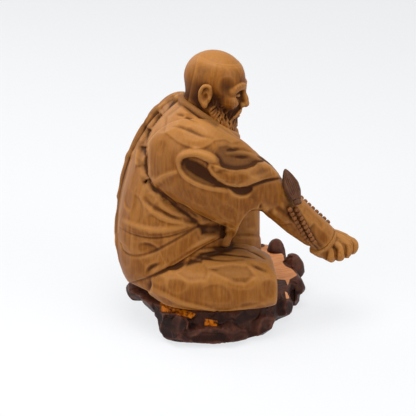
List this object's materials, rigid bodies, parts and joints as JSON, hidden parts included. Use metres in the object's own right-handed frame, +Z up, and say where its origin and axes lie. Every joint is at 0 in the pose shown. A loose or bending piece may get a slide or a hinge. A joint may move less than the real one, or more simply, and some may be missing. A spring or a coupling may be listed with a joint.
{
  "type": "okimono carving",
  "caption": "Carved wood ornament of a seated, bald, bearded monk in draped robes, one arm held out with a rosary, on a separate dark rock-shaped wood stand.",
  "frame": {"origin": "on the underside of the stand, below the middle of the seated figure", "axes": "+X the way the figure faces, +Y the figure's left, +Z up"},
  "size_m": [0.2349, 0.1774, 0.2748],
  "materials": {
    "carved_wood": "waxed satin, warm golden brown",
    "stained_wood": "dark red-brown stain, satin",
    "dark_wood": "dark brown, satin",
    "dowel_wood": "plain, hidden"
  },
  "bodies": {
    "stand": {"rock_stand": "stained_wood", "seat_pegs": "dowel_wood"},
    "figure": {"lap_block": "carved_wood", "left_leg": "carved_wood", "trunk_front": "carved_wood", "trunk_back": "carved_wood", "right_sleeve": "carved_wood", "left_sleeve": "carved_wood", "right_forearm": "carved_wood", "right_fist": "carved_wood", "left_hand": "carved_wood", "head": "carved_wood", "tassel": "dark_wood", "tassel_binding": "dark_wood", "bead_row_upper": "dark_wood", "bead_row_lower": "dark_wood", "bead_row_far": "dark_wood", "trunk_dowels": "dowel_wood", "coronal_dowels": "dowel_wood", "sleeve_dowels": "dowel_wood", "leg_dowels": "dowel_wood", "elbow_dowel": "dowel_wood", "hand_dowels": "dowel_wood"}
  },
  "joints": [
    {"name": "figure_lift", "type": "slide", "parent": "stand", "child": "figure", "axis": [0, 0, 1], "range_m": [0, 0.06]}
  ]
}
